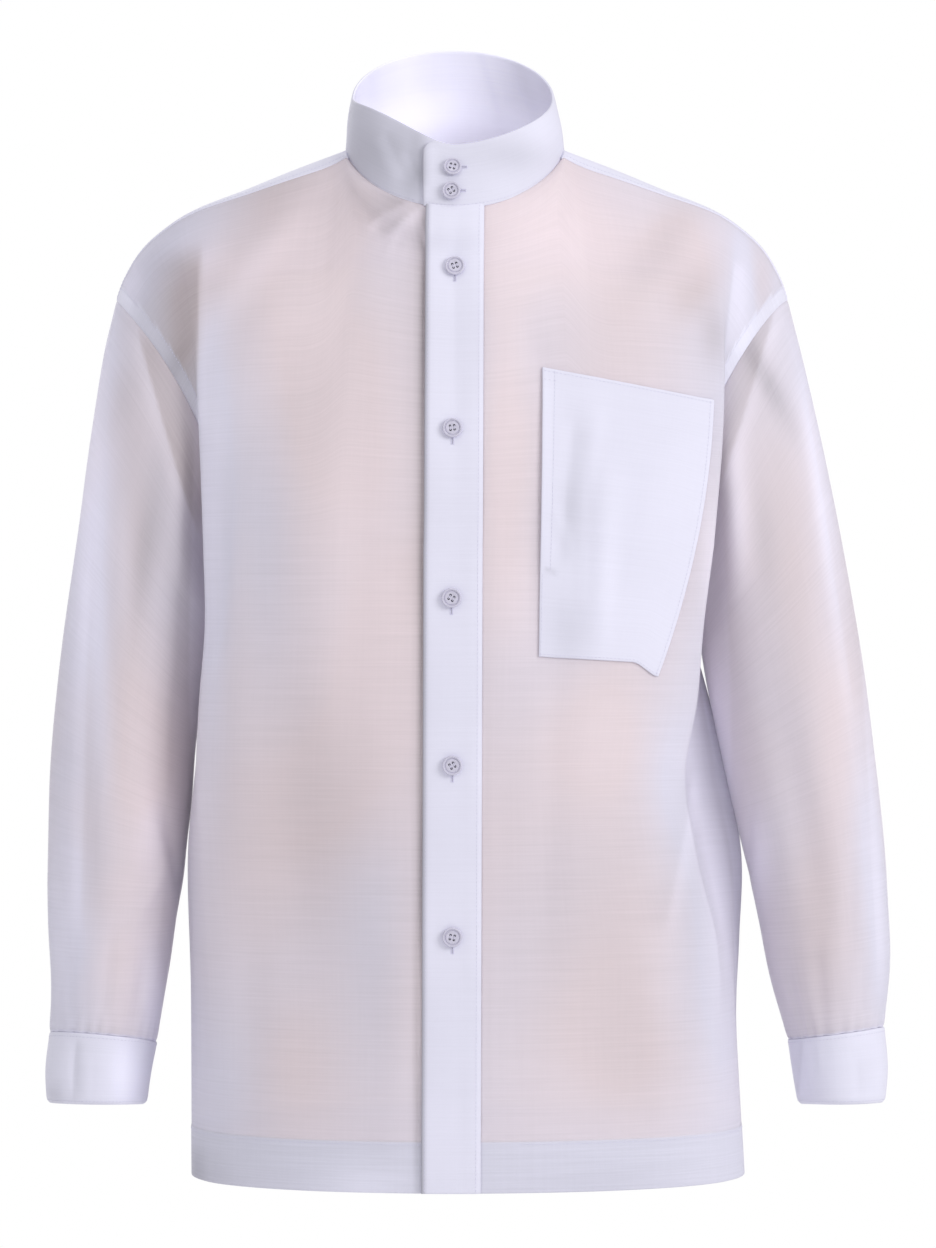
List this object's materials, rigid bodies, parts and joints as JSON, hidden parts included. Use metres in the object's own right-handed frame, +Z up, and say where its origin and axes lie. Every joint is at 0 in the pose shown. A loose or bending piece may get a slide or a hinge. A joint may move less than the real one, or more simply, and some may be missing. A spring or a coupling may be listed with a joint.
{
  "type": "mandarin collar shirt",
  "caption": "Long-sleeved sheer shirt with a tall buttoned stand collar, front placket, slanted chest pocket and cuffs, filled out as worn and open at neck, hem and cuffs.",
  "frame": {"origin": "in the neck opening, on the middle plane, level with the tops of the shoulder seams beside the collar", "axes": "+Z up, front of the shirt faces -Y, +X towards the wearer's left"},
  "size_m": [0.6164, 0.2356, 0.8262],
  "materials": {
    "sheer_cloth": "sheer plain weave with fine slubs, pale lilac",
    "doubled_cloth": "two layers of the same cloth, pale lilac and nearly opaque",
    "button": "pale lilac, lightly glossy, raised rim"
  },
  "bodies": {
    "root": {"front_right": "sheer_cloth", "front_left": "sheer_cloth", "back": "sheer_cloth", "yoke": "doubled_cloth", "sleeve_right": "sheer_cloth", "sleeve_left": "sheer_cloth", "placket": "doubled_cloth", "collar": "doubled_cloth", "cuff_right": "doubled_cloth", "cuff_left": "doubled_cloth", "pocket": "doubled_cloth", "front_button_1": "button", "front_button_2": "button", "front_button_3": "button", "front_button_4": "button", "front_button_5": "button", "collar_button_1": "button", "collar_button_2": "button", "cuff_button_right": "button", "cuff_button_left": "button"}
  },
  "joints": []
}
